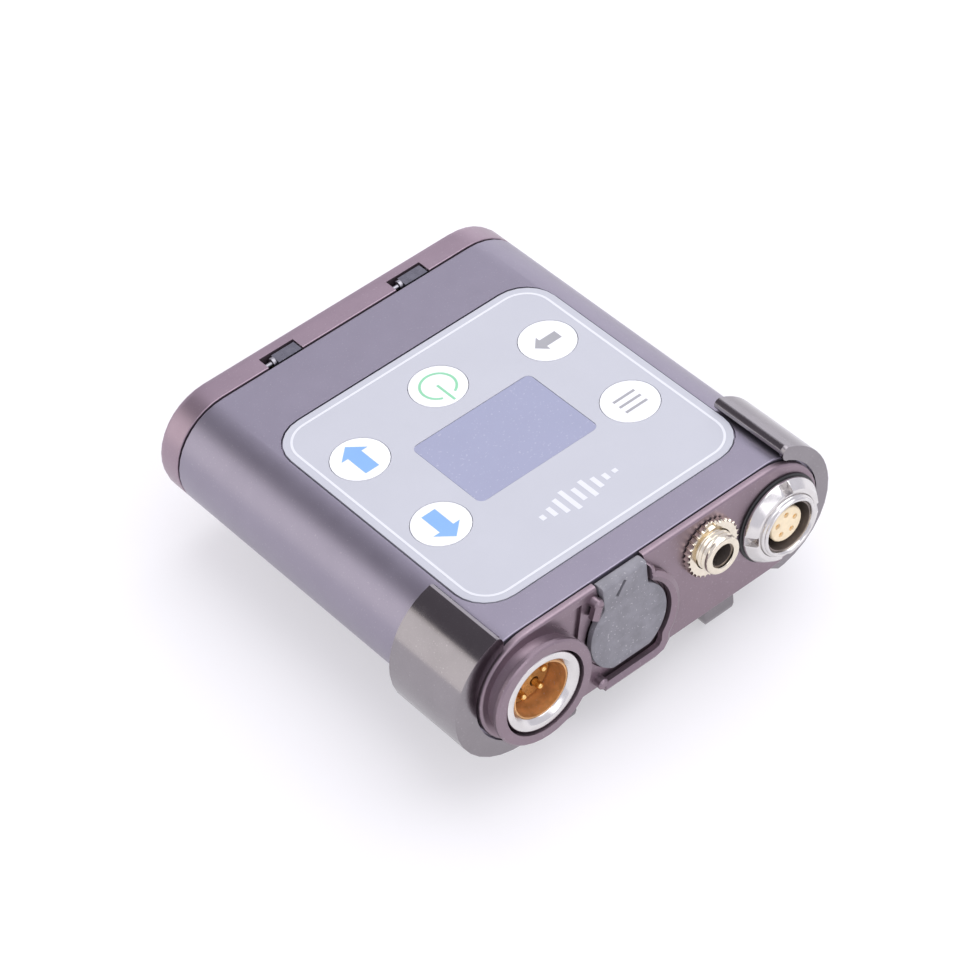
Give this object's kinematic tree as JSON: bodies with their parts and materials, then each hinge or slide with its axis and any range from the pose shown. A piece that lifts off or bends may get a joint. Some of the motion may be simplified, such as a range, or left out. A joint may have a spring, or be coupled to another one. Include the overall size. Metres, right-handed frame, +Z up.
{
  "type": "wireless lavalier microphone body-pack",
  "caption": "Pocket body-pack that a lavalier microphone plugs into: aluminium case, membrane keypad with display, connector panel, hinged battery door, card cover and spring belt clip.",
  "frame": {"origin": "centre of the bounding box's bottom, on the plane that the belt clip's ears and paddle rest on", "axes": "+Z up through the keypad, +X across the keypad to the right as seen from the connector end, -Y out of the connector panel, +Y out of the battery door"},
  "size_m": [0.0624, 0.0684, 0.0259],
  "materials": {
    "housing_violet": "bead-blasted, violet-grey anodised, satin",
    "panel_mauve": "machined, mauve anodised, satin",
    "overlay": "pale grey-blue membrane film, satin",
    "key_print": null,
    "lens": "lavender-grey display window",
    "rubber_grey": "moulded rubber, matt",
    "clip_black": "black, glossy",
    "nickel": "nickel plated",
    "gold": "gold plated",
    "amber": "brown translucent insulator",
    "cream": "cream insulator",
    "black_plastic": "black moulded",
    "steel": "bright steel",
    "board_green": "green circuit board",
    "cell_wrap": "printed sleeve, no marks"
  },
  "bodies": {
    "case": {"battery_bay_left": "black_plastic", "battery_bay_right": "black_plastic", "battery_left": "cell_wrap", "battery_right": "cell_wrap", "battery_spring_left": "steel", "battery_spring_right": "steel", "board_screw_1": "steel", "board_screw_2": "steel", "board_screw_3": "steel", "board_screw_4": "steel", "card_socket": "steel", "clip_bracket": "clip_black", "clip_pin": "steel", "clip_spring": "steel", "connector_panel": "panel_mauve", "headphone_jack_barrel": "nickel", "headphone_jack_body": "black_plastic", "headphone_jack_nut": "nickel", "hinge_pin_left": "steel", "hinge_pin_right": "steel", "hinge_strap_left": "black_plastic", "hinge_strap_right": "black_plastic", "housing": "housing_violet", "keypad_board": "board_green", "keypad_overlay": "overlay", "lcd_lens": "lens", "lcd_module": "black_plastic", "main_board": "board_green", "memory_card": "black_plastic", "mic_pin_1": "gold", "mic_pin_2": "gold", "mic_pin_3": "gold", "mic_pin_4": "gold", "mic_pin_5": "gold", "mic_socket_insert": "amber", "mic_socket_shell": "nickel", "shield_can": "steel", "switch_back": "black_plastic", "switch_down": "black_plastic", "switch_menu": "black_plastic", "switch_power": "black_plastic", "switch_up": "black_plastic", "timecode_insert": "cream", "timecode_socket_nut": "nickel", "timecode_socket_shell": "nickel", "timecode_washer": "black_plastic"},
    "battery_door": {"battery_door": "panel_mauve", "door_contact": "gold"},
    "card_cover": {"card_cover": "rubber_grey"},
    "key_power": {"key_power": "key_print"},
    "key_up": {"key_up": "key_print"},
    "key_down": {"key_down": "key_print"},
    "key_back": {"key_back": "key_print"},
    "key_menu": {"key_menu": "key_print"},
    "clip_paddle": {"clip_paddle": "clip_black"}
  },
  "joints": [
    {"name": "door_hinge", "type": "hinge", "parent": "case", "child": "battery_door", "pos_m": [0.0006, 0.03063, 0.0235], "axis": [1, 0, 0], "range_deg": [0, 95]},
    {"name": "cover_hinge", "type": "hinge", "parent": "case", "child": "card_cover", "pos_m": [-0.0042, -0.03077, 0.0234], "axis": [-1, 0, 0], "range_deg": [0, 95]},
    {"name": "clip_hinge", "type": "hinge", "parent": "case", "child": "clip_paddle", "pos_m": [0, -0.02287, 0.0028], "axis": [-1, 0, 0], "range_deg": [0, 15], "stiffness_Nm_per_rad": 0.3, "springref_deg": -11.46},
    {"name": "press_power", "type": "slide", "parent": "case", "child": "key_power", "axis": [0, 0, -1], "range_m": [0, 0.0003], "stiffness_N_per_m": 600, "springref_m": -0.0006},
    {"name": "press_up", "type": "slide", "parent": "case", "child": "key_up", "axis": [0, 0, -1], "range_m": [0, 0.0003], "stiffness_N_per_m": 600, "springref_m": -0.0006},
    {"name": "press_down", "type": "slide", "parent": "case", "child": "key_down", "axis": [0, 0, -1], "range_m": [0, 0.0003], "stiffness_N_per_m": 600, "springref_m": -0.0006},
    {"name": "press_back", "type": "slide", "parent": "case", "child": "key_back", "axis": [0, 0, -1], "range_m": [0, 0.0003], "stiffness_N_per_m": 600, "springref_m": -0.0006},
    {"name": "press_menu", "type": "slide", "parent": "case", "child": "key_menu", "axis": [0, 0, -1], "range_m": [0, 0.0003], "stiffness_N_per_m": 600, "springref_m": -0.0006}
  ]
}
